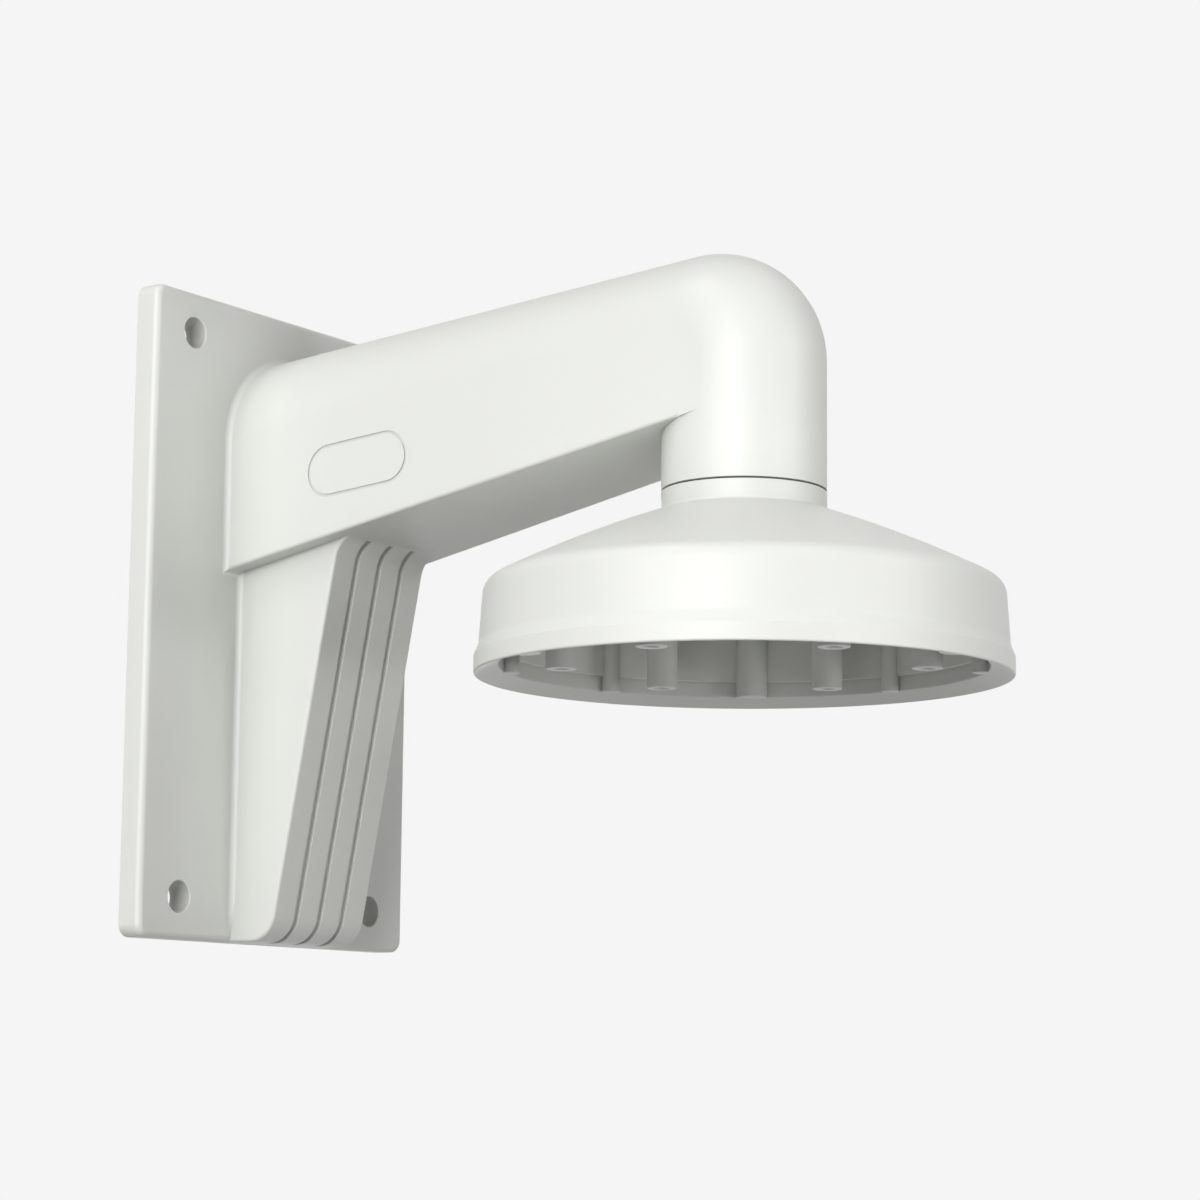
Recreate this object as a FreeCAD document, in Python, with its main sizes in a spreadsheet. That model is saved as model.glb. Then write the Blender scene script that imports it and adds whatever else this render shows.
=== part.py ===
import FreeCAD, Part
import math
import os
import re
import Sketcher

# Camera wall bracket: a wall plate with a hollow arm that bends down into a short
# tube, a fluted gusset under the arm, and a screwed-in round cap that takes a camera.
# Frame: origin on the wall plane at the plate's centre, X out of the wall, Z up.
# Sizes in millimetres and degrees.

SIZES = {
    # wall plate
    "plate_width": 114.6,
    "plate_height": 181.0,
    "plate_thickness": 7.5,
    "plate_corner_round": 3.5,
    "plate_edge_bevel": 1.1,
    "plate_rim_width": 4.0,
    "plate_recess_depth": 4.0,
    "plate_rib_width": 3.0,
    "plate_rib_level": 40.0,
    # screw holes in the wall plate
    "hole_spacing_wide": 82.8,
    "hole_spacing_high": 158.0,
    "hole_radius": 4.4,
    "hole_boss_radius": 9.0,
    # arm and elbow
    "tube_reach": 163.3,
    "tube_radius": 21.7,
    "tube_wall": 4.7,
    "bend_radius": 8.3,
    "bend_level": 59.0,
    "arm_slope": 4.7,
    "arm_root_half_width": 26.3,
    "arm_root_floor": 13.5,
    "arm_floor_slope": 10.76,
    "arm_floor_thickness": 4.0,
    "throat_inset": 0.05,
    # gusset
    "gusset_half_width": 19.8,
    "gusset_reach": 39.07,
    "gusset_slope": 10.92,
    "gusset_top_round": 8.0,
    "gusset_bottom_round": 8.5,
    "gusset_wall": 4.0,
    "flute_spacing": 9.9,
    "flute_width": 1.8,
    "flute_depth": 1.0,
    "flute_run_under_arm": 5.0,
    # oval badge field on the arm's side
    "badge_centre_reach": 53.2,
    "badge_centre_level": 38.8,
    "badge_length": 34.2,
    "badge_height": 18.4,
    "badge_line_width": 0.6,
    "badge_line_depth": 0.3,
    # neck seam between tube and cap
    "collar_top": 24.05,
    "seam_height": 0.9,
    "seal_inset": 0.7,
    "spigot_clearance": 0.3,
    # cap, outside
    "spigot_length": 16.0,
    "cable_bore_radius": 12.5,
    "collar_foot_level": 19.2,
    "cone_bow_radius": 341.0,
    "shoulder_radius": 67.8,
    "shoulder_level": -0.6,
    "shoulder_bevel": 1.65,
    "skirt_foot_radius": 68.8,
    "skirt_foot_level": -16.5,
    "lip_radius": 70.0,
    "lip_top_level": -19.5,
    "rim_level": -24.4,
    # cap, inside
    "band_radius": 63.6,
    "band_foot_level": -21.7,
    "ledge_level": -17.6,
    "cap_bore_radius": 62.2,
    "roof_thickness": 3.3,
    # pillars and ribs inside the cap
    "pillar_end_level": -22.0,
    "pillar_radius": 4.15,
    "pillar_circle_radius": 47.4,
    "pillar_angle": 30.0,
    "middle_pillar_angle": 93.5,
    "pillar_hole_radius": 1.8,
    "pillar_hole_depth": 12.0,
    "wall_boss_radius": 4.3,
    "wall_boss_angle": 120.0,
    "wall_rib_radius": 2.45,
    "wall_rib_front_angle": 38.0,
    "wall_rib_side_angle": 82.0,
    "wall_rib_back_angle": 158.0,
    # locking screw in the back of the tube
    "screw_level": 30.5,
    "screw_radius": 2.0,
    "screw_clearance": 0.1,
    "screw_sink": 0.5,
    "screw_socket_flats": 2.0,
    "screw_socket_depth": 1.8,
}

doc = FreeCAD.newDocument("camera_wall_bracket")
sheet = doc.addObject("Spreadsheet::Sheet", "Sizes")
for row, (alias, size) in enumerate(SIZES.items(), start=1):
    sheet.set(f"A{row}", alias.replace("_", " "))
    sheet.set(f"B{row}", str(size))
    sheet.setAlias(f"B{row}", alias)
doc.recompute()


def bound(expression):
    """The expression with each size pointed at the sheet."""
    return re.sub(r"[a-z]+(?:_[a-z]+)+", r"Sizes.\g<0>", expression)


def number(expression):
    """The expression's present value."""
    return float(FreeCAD.Units.Quantity(sheet.evalExpression(bound(expression))).Value)


def point(x, y):
    return FreeCAD.Vector(number(x), number(y), 0)


def new_body(name):
    body = doc.addObject("PartDesign::Body", name)
    body.Label = name
    doc.recompute()
    return body


def new_sketch(body, name, plane, shift=("0", "0", "0"), tilt=None, tilt_axis=(1, 0, 0)):
    """A sketch on an origin plane, shifted along its own x, y and normal, then tilted."""
    sketch = body.newObject("Sketcher::SketchObject", name)
    support = next(item for item in body.Origin.OriginFeatures if item.Role == plane)
    sketch.AttachmentSupport = (support, [""])
    sketch.MapMode = "FlatFace"
    if tilt:
        turn = FreeCAD.Rotation(FreeCAD.Vector(*tilt_axis), 1)
        sketch.AttachmentOffset = FreeCAD.Placement(FreeCAD.Vector(), turn)
        sketch.setExpression("AttachmentOffset.Rotation.Angle", bound(f"({tilt}) * 1 deg"))
    for letter, distance in zip("xyz", shift):
        if distance != "0":
            sketch.setExpression(f"AttachmentOffset.Base.{letter}", bound(distance))
    return sketch


def drive(sketch, name, constraint, expression):
    """Add a constraint whose value follows the expression."""
    index = sketch.addConstraint(constraint)
    sketch.renameConstraint(index, name)
    sketch.setExpression(f"Constraints.{name}", bound(expression))


def pin(sketch, name, geometry, position, x, y):
    """Hold a point at x, y from the sketch's origin."""
    for kind, expression, axis in (("DistanceX", x, -2), ("DistanceY", y, -1)):
        if expression == "0":
            sketch.addConstraint(Sketcher.Constraint("PointOnObject", geometry, position, axis))
        else:
            value = number(expression)
            constraint = Sketcher.Constraint(kind, -1, 1, geometry, position, value)
            drive(sketch, name + kind[-1].lower(), constraint, expression)


def arc_between(first, last, radius, side):
    """Arc from first to last, bulging left (side 1) or right (-1) of the way, and its ends in order."""
    chord = last - first
    middle = (first + last) * 0.5
    left = FreeCAD.Vector(-chord.y, chord.x, 0).normalize()
    inward = math.sqrt(max(radius ** 2 - (chord.Length / 2) ** 2, 0))
    centre = middle - left * side * inward
    begin, end = (last, first) if side > 0 else (first, last)
    angles = [math.atan2(p.y - centre.y, p.x - centre.x) for p in (begin, end)]
    circle = Part.Circle(centre, FreeCAD.Vector(0, 0, 1), radius)
    return Part.ArcOfCircle(circle, *angles), (2, 1) if side > 0 else (1, 2)


def outline(sketch, corners, bows=None):
    """Closed outline through corners (x, y) or (x, y, rounding); bows maps a side to (radius, side)."""
    bows = bows or {}
    count = len(corners)
    places = [point(corner[0], corner[1]) for corner in corners]
    arrive, leave, turns = list(places), list(places), {}
    for i, corner in enumerate(corners):
        if len(corner) == 3:
            radius = number(corner[2])
            back = (places[i - 1] - places[i]).normalize()
            ahead = (places[(i + 1) % count] - places[i]).normalize()
            reach = radius / math.tan(back.getAngle(ahead) / 2)
            arrive[i] = places[i] + back * reach
            leave[i] = places[i] + ahead * reach
            turns[i] = -1 if back.x * ahead.y - back.y * ahead.x < 0 else 1

    sides = []
    for i in range(count):
        first, last = leave[i], arrive[(i + 1) % count]
        if i in bows:
            shape, ends = arc_between(first, last, number(bows[i][0]), bows[i][1])
            index = sketch.addGeometry(shape)
            radius = Sketcher.Constraint("Radius", index, number(bows[i][0]))
            drive(sketch, f"bow{i}", radius, bows[i][0])
        else:
            index = sketch.addGeometry(Part.LineSegment(first, last))
            ends = (1, 2)
        sides.append((index, ends))

    for i, corner in enumerate(corners):
        before, before_ends = sides[i - 1]
        after, after_ends = sides[i]
        if i not in turns:
            meeting = Sketcher.Constraint("Coincident", before, before_ends[1], after, after_ends[0])
            sketch.addConstraint(meeting)
            pin(sketch, f"corner{i}", after, after_ends[0], corner[0], corner[1])
            continue
        shape, ends = arc_between(arrive[i], leave[i], number(corner[2]), turns[i])
        index = sketch.addGeometry(shape)
        mark = sketch.addGeometry(Part.Point(places[i]), True)
        pin(sketch, f"corner{i}", mark, 1, corner[0], corner[1])
        sketch.addConstraint(Sketcher.Constraint("PointOnObject", mark, 1, before))
        sketch.addConstraint(Sketcher.Constraint("PointOnObject", mark, 1, after))
        sketch.addConstraint(Sketcher.Constraint("Tangent", before, before_ends[1], index, ends[0]))
        sketch.addConstraint(Sketcher.Constraint("Tangent", index, ends[1], after, after_ends[0]))
        drive(sketch, f"round{i}", Sketcher.Constraint("Radius", index, number(corner[2])), corner[2])
    if sketch.solve() != 0:
        raise RuntimeError(f"{sketch.Name} has no solution")


def rectangle(sketch, half_width, half_height, rounding=None):
    extra = (rounding,) if rounding else ()
    outline(sketch, [
        (f"-({half_width})", f"-({half_height})") + extra,
        (half_width, f"-({half_height})") + extra,
        (half_width, half_height) + extra,
        (f"-({half_width})", half_height) + extra,
    ])


def stadium(sketch, half_length, half_height):
    """Two half circles joined by straight lines, about the sketch's origin."""
    ends = []
    for sign in (1, -1):
        x = f"{sign} * ({half_length} - ({half_height}))"
        circle = Part.Circle(point(x, "0"), FreeCAD.Vector(0, 0, 1), number(half_height))
        start = -math.pi / 2 if sign > 0 else math.pi / 2
        end = sketch.addGeometry(Part.ArcOfCircle(circle, start, start + math.pi))
        pin(sketch, f"end{end}", end, 3, x, "0")
        drive(sketch, f"end{end}r", Sketcher.Constraint("Radius", end, number(half_height)), half_height)
        ends.append(end)
    for first, last in (ends, ends[::-1]):
        start, stop = (sketch.getPoint(first, 2), sketch.getPoint(last, 1))
        line = sketch.addGeometry(Part.LineSegment(start, stop))
        sketch.addConstraint(Sketcher.Constraint("Tangent", first, 2, line, 1))
        sketch.addConstraint(Sketcher.Constraint("Coincident", line, 2, last, 1))


def disc(sketch, name, x, y, radius):
    centre = point(x, y)
    index = sketch.addGeometry(Part.Circle(centre, FreeCAD.Vector(0, 0, 1), number(radius)))
    pin(sketch, name, index, 3, x, y)
    drive(sketch, name + "r", Sketcher.Constraint("Radius", index, number(radius)), radius)


def d_section(sketch, half_width, floor, spring, sideways=False):
    """Flat floor, straight sides and a half-round crown on them; sideways, the crown points along x."""
    def place(across, up):
        return (up, across) if sideways else (across, up)

    low_a, low_b = place(f"-({half_width})", floor), place(half_width, floor)
    high_a, high_b = place(f"-({half_width})", spring), place(half_width, spring)
    centre = place("0", spring)
    floor_line = sketch.addGeometry(Part.LineSegment(point(*low_a), point(*low_b)))
    side_b = sketch.addGeometry(Part.LineSegment(point(*low_b), point(*high_b)))
    side_a = sketch.addGeometry(Part.LineSegment(point(*high_a), point(*low_a)))
    circle = Part.Circle(point(*centre), FreeCAD.Vector(0, 0, 1), number(half_width))
    angles = (-math.pi / 2, math.pi / 2) if sideways else (0, math.pi)
    crown = sketch.addGeometry(Part.ArcOfCircle(circle, *angles))
    end_a, end_b = (1, 2) if sideways else (2, 1)
    sketch.addConstraint(Sketcher.Constraint("Coincident", floor_line, 2, side_b, 1))
    sketch.addConstraint(Sketcher.Constraint("Coincident", side_a, 2, floor_line, 1))
    sketch.addConstraint(Sketcher.Constraint("Tangent", side_b, 2, crown, end_b))
    sketch.addConstraint(Sketcher.Constraint("Tangent", crown, end_a, side_a, 1))
    pin(sketch, "low_a", floor_line, 1, *low_a)
    pin(sketch, "low_b", floor_line, 2, *low_b)
    pin(sketch, "centre", crown, 3, *centre)
    drive(sketch, "crown", Sketcher.Constraint("Radius", crown, number(half_width)), half_width)


def finish(body, feature, adds):
    """Recompute and make sure that the feature has added or taken material."""
    before = body.Shape.Volume if not body.Shape.isNull() else 0.0
    body.Tip = feature
    doc.recompute()
    change = body.Shape.Volume - before
    if (change > 0) != adds or "Invalid" in feature.State:
        raise RuntimeError(f"{feature.Name} changed the volume by {change:.1f}: {feature.State}")
    return feature


def extrude(body, name, sketch, length, adds=True, backwards=False, symmetric=False):
    """Pad or pocket; length None cuts through all."""
    feature = body.newObject("PartDesign::Pad" if adds else "PartDesign::Pocket", name)
    feature.Profile = sketch
    if length is None:
        feature.Type = "ThroughAll"
    else:
        feature.setExpression("Length", bound(length))
    feature.Reversed = backwards
    if symmetric:
        feature.SideType = "Symmetric"
    return finish(body, feature, adds)


def turn(body, name, sketch, angle=None, adds=True, backwards=False):
    """Revolve a profile about its sketch's y axis."""
    feature = body.newObject("PartDesign::Revolution" if adds else "PartDesign::Groove", name)
    feature.Profile = sketch
    feature.ReferenceAxis = (sketch, ["V_Axis"])
    if angle:
        feature.setExpression("Angle", bound(angle))
    else:
        feature.Angle = 360
    feature.Reversed = backwards
    return finish(body, feature, adds)


def loft(body, name, first, last, adds=True):
    feature = body.newObject("PartDesign::AdditiveLoft" if adds else "PartDesign::SubtractiveLoft", name)
    feature.Profile = first
    feature.Sections = [last]
    feature.Ruled = True
    return finish(body, feature, adds)


def bevel_edges(body, name, size, wanted):
    """Bevel the edges of the body's present shape that the test accepts."""
    base = body.Tip
    edges = [f"Edge{i}" for i, edge in enumerate(base.Shape.Edges, start=1) if wanted(edge)]
    feature = body.newObject("PartDesign::Chamfer", name)
    feature.Base = (base, edges)
    feature.setExpression("Size", bound(size))
    return finish(body, feature, adds=False)


def in_plane(edge, axis, level):
    """Whether an edge lies at one level along an axis."""
    box = edge.BoundBox
    low, high = {"x": (box.XMin, box.XMax), "y": (box.YMin, box.YMax), "z": (box.ZMin, box.ZMax)}[axis]
    return abs(low - level) < 0.01 and abs(high - level) < 0.01


# Sizes that follow from the others
BEND_REACH = "(tube_reach - bend_radius)"
TUBE_END = "(collar_top + seam_height)"
TUBE_BORE = "(tube_radius - tube_wall)"
SPIGOT_RADIUS = f"({TUBE_BORE} - spigot_clearance)"
SPIGOT_TOP = "(collar_top + spigot_length)"
SLOPE = "arm_slope * 1 deg"
FLOOR_SLOPE = "arm_floor_slope * 1 deg"
FRONT_SLOPE = "gusset_slope * 1 deg"
CONE_SLOPE = "atan((collar_foot_level - shoulder_level) / (shoulder_radius - tube_radius))"

# The arm's top line is tangent to the bend's outer circle
ARM_RUN = f"({BEND_REACH} - (bend_radius + tube_radius) * sin({SLOPE}) - plate_thickness)"
ARM_ROOT_TOP = f"(bend_level + (bend_radius + tube_radius) * cos({SLOPE}) - {ARM_RUN} * tan({SLOPE}))"

# Depth of the arm's floor below the bend's axis, along the tilted end section
FLOOR_DROP = (
    f"((bend_level - arm_root_floor - tan({FLOOR_SLOPE}) * ({BEND_REACH} - plate_thickness))"
    f" / (cos({SLOPE}) + tan({FLOOR_SLOPE}) * sin({SLOPE})))"
)

# Front line and floor line of the gusset, each as its distance from the origin
FRONT_OFFSET = f"(gusset_reach * cos({FRONT_SLOPE}))"
FLOOR_OFFSET = f"(arm_root_floor * cos({FLOOR_SLOPE}) - plate_thickness * sin({FLOOR_SLOPE}))"


def crossing(front_inset, floor_drop):
    """Where the gusset's front line, set back, meets the arm's floor line, set down."""
    front = f"({FRONT_OFFSET} - ({front_inset}))"
    floor = f"({FLOOR_OFFSET} - ({floor_drop}))"
    spread = f"cos({FRONT_SLOPE} + {FLOOR_SLOPE})"
    x = f"(({front} * cos({FLOOR_SLOPE}) + {floor} * sin({FRONT_SLOPE})) / {spread})"
    z = f"(({floor} * cos({FRONT_SLOPE}) + {front} * sin({FLOOR_SLOPE})) / {spread})"
    return x, z


def front_reach(inset, level):
    """Reach of the gusset's front line, set back, at a level."""
    return f"(({FRONT_OFFSET} - ({inset}) + ({level}) * sin({FRONT_SLOPE})) / cos({FRONT_SLOPE}))"


# Casting: plate, arm, elbow, tube and gusset in one piece
casting = new_body("bracket_casting")

plate_sketch = new_sketch(casting, "plate_outline", "YZ_Plane")
rectangle(plate_sketch, "plate_width / 2", "plate_height / 2", "plate_corner_round")
extrude(casting, "plate", plate_sketch, "plate_thickness")
bevel_edges(casting, "plate_edge", "plate_edge_bevel",
            lambda edge: in_plane(edge, "x", number("plate_thickness")))

recess_sketch = new_sketch(casting, "recess_outline", "YZ_Plane")
rectangle(recess_sketch, "plate_width / 2 - plate_rim_width", "plate_height / 2 - plate_rim_width")
extrude(casting, "recess", recess_sketch, "plate_recess_depth", adds=False, backwards=True)

HOLES = [(f"{a} * hole_spacing_wide / 2", f"{b} * hole_spacing_high / 2") for a in (-1, 1) for b in (-1, 1)]
boss_sketch = new_sketch(casting, "hole_boss_outlines", "YZ_Plane")
for i, (x, y) in enumerate(HOLES):
    disc(boss_sketch, f"boss{i}", x, y, "hole_boss_radius")
extrude(casting, "hole_bosses", boss_sketch, "plate_thickness - plate_edge_bevel")

for side, sign in (("upper", "1"), ("lower", "-1")):
    rib_level = f"{sign} * plate_rib_level"
    rib_sketch = new_sketch(casting, side + "_rib_outline", "YZ_Plane", ("0", rib_level, "0"))
    rectangle(rib_sketch, "plate_width / 2 - plate_rim_width / 2", "plate_rib_width / 2")
    extrude(casting, side + "_rib", rib_sketch, "plate_thickness - plate_edge_bevel")

collar_sketch = new_sketch(casting, "arm_root_outline", "YZ_Plane")
d_section(collar_sketch, "arm_root_half_width", "arm_root_floor", f"{ARM_ROOT_TOP} - arm_root_half_width")
extrude(casting, "arm_root", collar_sketch, "plate_thickness")

root_sketch = new_sketch(casting, "arm_start_section", "YZ_Plane", ("0", "0", "plate_thickness"))
d_section(root_sketch, "arm_root_half_width", "arm_root_floor", f"{ARM_ROOT_TOP} - arm_root_half_width")
end_sketch = new_sketch(casting, "arm_end_section", "YZ_Plane", ("0", "bend_level", BEND_REACH),
                        "arm_slope", (-1, 0, 0))
d_section(end_sketch, "tube_radius", f"-{FLOOR_DROP}", "bend_radius")
loft(casting, "arm", root_sketch, end_sketch)

elbow_sketch = new_sketch(casting, "elbow_section", "XY_Plane", (BEND_REACH, "0", "bend_level"))
d_section(elbow_sketch, "tube_radius", "0", "bend_radius", sideways=True)
turn(casting, "elbow", elbow_sketch, "90 + arm_slope", backwards=True)

# The arm runs on below the bend into the tube
def throat_corners(drop):
    """From the bend's axis out to the tube's axis, down to the floor line and back up the end section."""
    foot_x, foot_z = f"{drop} * sin({SLOPE})", f"-{drop} * cos({SLOPE})"
    return [
        ("0", "0"),
        ("bend_radius", "0"),
        ("bend_radius", f"{foot_z} + (bend_radius - {foot_x}) * tan({FLOOR_SLOPE})"),
        (foot_x, foot_z),
    ]


throat_sketch = new_sketch(casting, "throat_outline", "XZ_Plane", (BEND_REACH, "bend_level", "0"))
outline(throat_sketch, throat_corners(FLOOR_DROP))
extrude(casting, "throat", throat_sketch, "2 * (tube_radius - throat_inset)", symmetric=True)

tube_sketch = new_sketch(casting, "tube_outline", "XY_Plane", ("tube_reach", "0", TUBE_END))
disc(tube_sketch, "tube", "0", "0", "tube_radius")
extrude(casting, "tube", tube_sketch, f"bend_level - {TUBE_END}")

# Gusset: straight front, hollow curve into the arm's floor, rounded foot
corner_x, corner_z = crossing("0", "0")
gusset_sketch = new_sketch(casting, "gusset_outline", "XZ_Plane")
FOOT = "(-plate_height / 2)"
gusset_end = f"({corner_x} + 2 * gusset_top_round)"
gusset_end_level = f"({corner_z} + 2 * gusset_top_round * tan({FLOOR_SLOPE}))"
outline(gusset_sketch, [
    ("0", FOOT),
    (front_reach("0", FOOT), FOOT, "gusset_bottom_round"),
    (corner_x, corner_z, "gusset_top_round"),
    (gusset_end, gusset_end_level),
    (gusset_end, f"{gusset_end_level} + arm_floor_thickness / 2"),
    ("0", f"{corner_z} + arm_floor_thickness / 2"),
])
extrude(casting, "gusset", gusset_sketch, "2 * gusset_half_width", symmetric=True)

# Hollow: cable way through arm, elbow and tube, open at the back, and the gusset's core
core_half_width = "(arm_root_half_width - tube_wall)"
core_floor = "arm_root_floor + arm_floor_thickness"
core_spring = f"{ARM_ROOT_TOP} - arm_root_half_width"
mouth_sketch = new_sketch(casting, "cable_way_mouth_outline", "YZ_Plane")
d_section(mouth_sketch, core_half_width, core_floor, core_spring)
extrude(casting, "cable_way_mouth", mouth_sketch, "plate_thickness", adds=False, backwards=True)
core_root_sketch = new_sketch(casting, "cable_way_start", "YZ_Plane", ("0", "0", "plate_thickness"))
d_section(core_root_sketch, core_half_width, core_floor, core_spring)
core_end_sketch = new_sketch(casting, "cable_way_end", "YZ_Plane", ("0", "bend_level", BEND_REACH),
                             "arm_slope", (-1, 0, 0))
d_section(core_end_sketch, TUBE_BORE, f"arm_floor_thickness - {FLOOR_DROP}", "bend_radius")
loft(casting, "cable_way", core_root_sketch, core_end_sketch, adds=False)

elbow_core_sketch = new_sketch(casting, "elbow_core_section", "XY_Plane", (BEND_REACH, "0", "bend_level"))
d_section(elbow_core_sketch, TUBE_BORE, "0", "bend_radius", sideways=True)
turn(casting, "elbow_core", elbow_core_sketch, "90 + arm_slope", adds=False, backwards=True)

throat_core_sketch = new_sketch(casting, "throat_core_outline", "XZ_Plane", (BEND_REACH, "bend_level", "0"))
outline(throat_core_sketch, throat_corners(f"({FLOOR_DROP} - arm_floor_thickness)"))
extrude(casting, "throat_core", throat_core_sketch, f"2 * ({TUBE_BORE} - throat_inset)",
        adds=False, symmetric=True)

bore_sketch = new_sketch(casting, "tube_bore_outline", "XY_Plane", ("tube_reach", "0", TUBE_END))
disc(bore_sketch, "bore", "0", "0", TUBE_BORE)
extrude(casting, "tube_bore", bore_sketch, f"bend_level - {TUBE_END}", adds=False, backwards=True)

core_x, core_z = crossing("gusset_wall", "0")
core_foot = "(gusset_wall - plate_height / 2)"
gusset_core_sketch = new_sketch(casting, "gusset_core_outline", "XZ_Plane")
outline(gusset_core_sketch, [
    ("0", core_foot),
    (front_reach("gusset_wall", core_foot), core_foot, "gusset_bottom_round - gusset_wall"),
    (core_x, core_z),
    ("0", f"{core_z} - {core_x} * tan({FLOOR_SLOPE})"),
])
extrude(casting, "gusset_core", gusset_core_sketch, "2 * (gusset_half_width - gusset_wall)",
        adds=False, symmetric=True)

# Three flutes down the gusset's front, from under the arm round to the foot
flute_sketch = new_sketch(casting, "flute_band", "XZ_Plane", ("0", "0", "-flute_spacing"))
deep_x, deep_z = crossing("flute_depth", "-flute_depth")
outline(flute_sketch, [
    (f"{front_reach('0', FOOT)} - gusset_bottom_round", FOOT),
    (front_reach("0", FOOT), FOOT, "gusset_bottom_round"),
    (corner_x, corner_z, "gusset_top_round"),
    (f"{corner_x} + gusset_top_round + flute_run_under_arm",
     f"{corner_z} + (gusset_top_round + flute_run_under_arm) * tan({FLOOR_SLOPE})"),
    (deep_x, deep_z, "gusset_top_round + flute_depth"),
    (front_reach("flute_depth", f"{FOOT} + flute_depth"), f"{FOOT} + flute_depth",
     "gusset_bottom_round - flute_depth"),
    (f"{front_reach('0', FOOT)} - gusset_bottom_round", f"{FOOT} + flute_depth"),
])
flute = extrude(casting, "flute", flute_sketch, "flute_width", adds=False, symmetric=True)
flutes = casting.newObject("PartDesign::LinearPattern", "flutes")
flutes.Originals = [flute]
flutes.Direction = (flute_sketch, ["N_Axis"])
flutes.setExpression("Length", bound("2 * flute_spacing"))
flutes.Occurrences = 3
finish(casting, flutes, adds=False)

# Oval outline of the bare badge field, sunk into the arm's tapering -Y side
TAPER = f"atan((arm_root_half_width - tube_radius) / ({ARM_RUN}))"
badge_side = (f"(arm_root_half_width - (badge_centre_reach - plate_thickness)"
              f" * (arm_root_half_width - tube_radius) / {ARM_RUN})")
badge_sketch = new_sketch(casting, "badge_outline", "XZ_Plane",
                          ("badge_centre_reach", "badge_centre_level", f"{badge_side} + badge_line_depth"),
                          TAPER, (0, 1, 0))
for grow in ("badge_line_width / 2", "-badge_line_width / 2"):
    stadium(badge_sketch, f"badge_length / 2 + {grow}", f"badge_height / 2 + {grow}")
extrude(casting, "badge_line", badge_sketch, "2 * badge_line_depth", adds=False)

hole_sketch = new_sketch(casting, "wall_hole_outlines", "YZ_Plane")
for i, (x, y) in enumerate(HOLES):
    disc(hole_sketch, f"hole{i}", x, y, "hole_radius")
extrude(casting, "wall_holes", hole_sketch, "plate_thickness", adds=False, backwards=True)

screw_hole_sketch = new_sketch(casting, "locking_hole_outline", "YZ_Plane",
                               ("0", "screw_level", "tube_reach - tube_radius - screw_radius"))
disc(screw_hole_sketch, "locking", "0", "0", "screw_radius + screw_clearance")
extrude(casting, "locking_hole", screw_hole_sketch, "tube_radius", adds=False, backwards=True)

# Seal: flat ring in the seam between tube and cap
seal = new_body("neck_seal")
seal_sketch = new_sketch(seal, "seal_outline", "XY_Plane", ("tube_reach", "0", "collar_top"))
disc(seal_sketch, "outside", "0", "0", "tube_radius - seal_inset")
disc(seal_sketch, "inside", "0", "0", TUBE_BORE)
extrude(seal, "seal_ring", seal_sketch, "seam_height")

# Cavity of the cap, with its pillars and ribs left standing
cavity = new_body("cap_cavity")
cavity_sketch = new_sketch(cavity, "cavity_outline", "XZ_Plane", ("tube_reach", "0", "0"))
mouth_level = "(rim_level - pillar_radius)"
roof_level = "(collar_foot_level - roof_thickness)"
eaves_level = ("(shoulder_level - roof_thickness"
               f" + (shoulder_radius - cap_bore_radius) * tan({CONE_SLOPE}))")
outline(cavity_sketch, [
    ("0", mouth_level),
    ("band_radius", mouth_level),
    ("band_radius", "ledge_level"),
    ("cap_bore_radius", "ledge_level"),
    ("cap_bore_radius", eaves_level),
    ("tube_radius", roof_level),
    ("0", roof_level),
])
turn(cavity, "cavity_turned", cavity_sketch)

standing_sketch = new_sketch(cavity, "pillar_outlines", "XY_Plane", ("tube_reach", "0", "pillar_end_level"))


def polar(radius, angle):
    return f"({radius}) * cos(({angle}) * 1 deg)", f"({radius}) * sin(({angle}) * 1 deg)"


PILLAR_ANGLES = ["pillar_angle", "180 - pillar_angle", "pillar_angle - 180", "-pillar_angle",
                 "middle_pillar_angle", "middle_pillar_angle - 180"]
BOSS_ANGLES = ["0", "wall_boss_angle", "-wall_boss_angle"]
RIB_PLACES = ("wall_rib_front_angle", "wall_rib_side_angle", "wall_rib_back_angle")
RIB_ANGLES = [sign + angle for angle in RIB_PLACES for sign in ("", "-")]
for i, angle in enumerate(PILLAR_ANGLES):
    disc(standing_sketch, f"pillar{i}", *polar("pillar_circle_radius", angle), "pillar_radius")
for i, angle in enumerate(BOSS_ANGLES):
    disc(standing_sketch, f"boss{i}", *polar("cap_bore_radius", angle), "wall_boss_radius")
for i, angle in enumerate(RIB_ANGLES):
    disc(standing_sketch, f"rib{i}", *polar("cap_bore_radius", angle), "wall_rib_radius")
extrude(cavity, "standing_pieces", standing_sketch, None, adds=False, backwards=True)

# Cap: spigot, collar, cone, skirt and lip in one turned outline, less the cavity
cap = new_body("dome_cap")
cap_sketch = new_sketch(cap, "cap_outline", "XZ_Plane", ("tube_reach", "0", "0"))
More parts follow.
